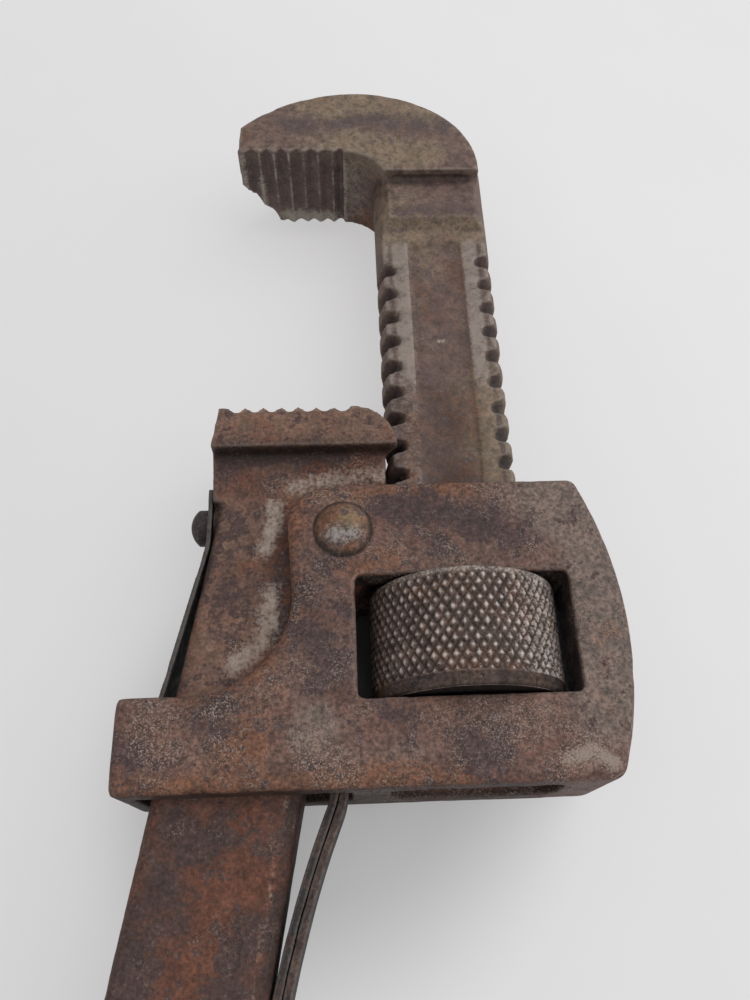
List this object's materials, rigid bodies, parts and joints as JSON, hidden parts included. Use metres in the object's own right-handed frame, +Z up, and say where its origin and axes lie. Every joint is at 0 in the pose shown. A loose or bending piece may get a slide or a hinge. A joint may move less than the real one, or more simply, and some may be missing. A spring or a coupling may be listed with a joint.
{
  "type": "pipe wrench",
  "caption": "Adjustable pipe wrench: toothed hook jaw on a threaded flat shank, moved by a knurled nut in a sprung frame that rocks on a forged bar with the heel jaw.",
  "frame": {"origin": "middle of the underside of the box round the wrench as it lies on its side, so z = 0 is the level of the nut's lowest knurl", "axes": "+Y towards the hook jaw along its shank, +X from the jaw opening towards the nut, +Z up out of the front face"},
  "size_m": [0.1126, 0.3544, 0.0345],
  "materials": {
    "bar_steel": "forged, rusted brown, worn",
    "hook_steel": "forged, dull olive brown with bare edges",
    "frame_iron": "cast skin, rusted brown",
    "nut_steel": "dark, bright knurl tips",
    "rivet_steel": "rusted, worn crown",
    "spring_steel": "dark, rusted"
  },
  "bodies": {
    "handle": {"handle_bar": "bar_steel", "front_spring": "spring_steel", "front_spring_rivet": "rivet_steel", "back_spring_inner_leaf": "spring_steel", "back_spring_outer_leaf": "spring_steel", "back_spring_rivet": "rivet_steel"},
    "frame": {"frame": "frame_iron", "pivot_rivet": "rivet_steel"},
    "nut": {"adjusting_nut": "nut_steel"},
    "hook": {"hook_jaw": "hook_steel"}
  },
  "joints": [
    {"name": "frame_rock", "type": "hinge", "parent": "handle", "child": "frame", "pos_m": [0.0072, 0.06141, 0.01725], "axis": [0, 0, 1], "range_deg": [-3, 2], "stiffness_Nm_per_rad": 20, "deforming": ["front_spring", "back_spring_inner_leaf", "back_spring_outer_leaf"]},
    {"name": "nut_spin", "type": "hinge", "parent": "frame", "child": "nut", "pos_m": [0.029, 0.04186, 0.01725], "axis": [0, -1, 0], "range_deg": [-3780, 270]},
    {"name": "hook_slide", "type": "slide", "parent": "frame", "child": "hook", "axis": [0, 1, 0], "range_m": [-0.06667, 0.00476]}
  ],
  "couplings": [
    {"joint": "nut_spin", "follows": "hook_slide", "rad_per_m": 989.48}
  ]
}
